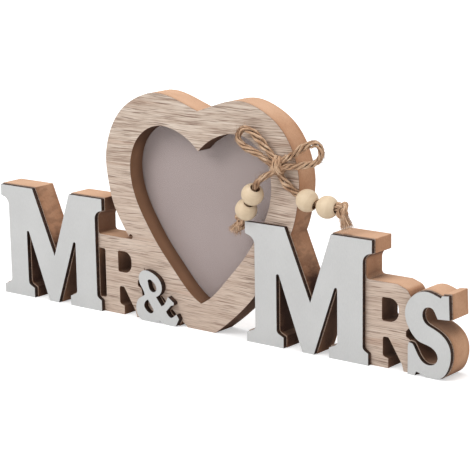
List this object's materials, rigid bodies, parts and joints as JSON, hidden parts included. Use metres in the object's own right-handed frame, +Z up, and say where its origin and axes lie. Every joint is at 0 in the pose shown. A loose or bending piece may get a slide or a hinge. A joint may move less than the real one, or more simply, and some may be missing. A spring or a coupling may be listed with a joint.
{
  "type": "heart shaped photo frame",
  "caption": "Free-standing wooden photo frame: a heart with a picture window in a row of cut-out letters, trimmed with a twine bow and wooden beads.",
  "frame": {"origin": "middle of the footprint, on the surface that the frame stands on", "axes": "+X along the row of letters as a viewer reads it, +Y from the front to the back, +Z up"},
  "size_m": [0.377, 0.0353, 0.157],
  "materials": {
    "fibreboard": "matt cut fibreboard",
    "oak_print": "matt printed oak",
    "whitewashed_plate": "matt whitewash with scorched edges",
    "clear_sheet": "clear",
    "photo_paper": "matt plain sheet",
    "hardboard": "matt hardboard",
    "button_steel": "zinc plated",
    "screw_steel": "zinc plated",
    "jute": "twisted natural fibre",
    "bead_wood": "smooth unvarnished"
  },
  "bodies": {
    "frame": {"frame_block": "fibreboard", "oak_face": "oak_print", "plate_m_left": "whitewashed_plate", "plate_m_right": "whitewashed_plate", "plate_s": "whitewashed_plate", "plate_ampersand": "whitewashed_plate", "clear_sheet": "clear_sheet", "photo_sheet": "photo_paper", "back_board": "hardboard", "button_screws": "screw_steel", "bow_knot": "jute", "bow_loop_left": "jute", "bow_loop_right": "jute", "tail_left": "jute", "tail_right": "jute", "tail_end_left": "jute", "tail_end_right": "jute"},
    "button_1": {"turn_button_1": "button_steel"},
    "button_2": {"turn_button_2": "button_steel"},
    "button_3": {"turn_button_3": "button_steel"},
    "button_4": {"turn_button_4": "button_steel"},
    "bead_left_upper": {"bead_left_upper": "bead_wood"},
    "bead_left_lower": {"bead_left_lower": "bead_wood"},
    "bead_right_inner": {"bead_right_inner": "bead_wood"},
    "bead_right_outer": {"bead_right_outer": "bead_wood"}
  },
  "joints": [
    {"name": "button_1_turn", "type": "hinge", "parent": "frame", "child": "button_1", "pos_m": [0.06683, 0.0101, 0.10676], "axis": [0, 1, 0], "continuous": true},
    {"name": "button_2_turn", "type": "hinge", "parent": "frame", "child": "button_2", "pos_m": [0.04814, 0.0101, 0.0584], "axis": [0, 1, 0], "continuous": true},
    {"name": "button_3_turn", "type": "hinge", "parent": "frame", "child": "button_3", "pos_m": [-0.06064, 0.0101, 0.0584], "axis": [0, 1, 0], "continuous": true},
    {"name": "button_4_turn", "type": "hinge", "parent": "frame", "child": "button_4", "pos_m": [-0.07933, 0.0101, 0.10676], "axis": [0, 1, 0], "continuous": true},
    {"name": "bead_left_upper_slide", "type": "slide", "parent": "frame", "child": "bead_left_upper", "axis": [0.5701, -0.2901, 0.7686], "range_m": [0, 0.005]},
    {"name": "bead_left_lower_spin", "type": "hinge", "parent": "frame", "child": "bead_left_lower", "pos_m": [0.03485, -0.01112, 0.08776], "axis": [-0.5701, 0.2901, -0.7686], "continuous": true},
    {"name": "bead_right_inner_spin", "type": "hinge", "parent": "frame", "child": "bead_right_inner", "pos_m": [0.08277, -0.0108, 0.0991], "axis": [0.9443, 0.0262, -0.3279], "continuous": true},
    {"name": "bead_right_outer_spin", "type": "hinge", "parent": "frame", "child": "bead_right_outer", "pos_m": [0.09756, -0.01011, 0.09651], "axis": [0.9978, 0.0653, -0.0119], "continuous": true}
  ]
}
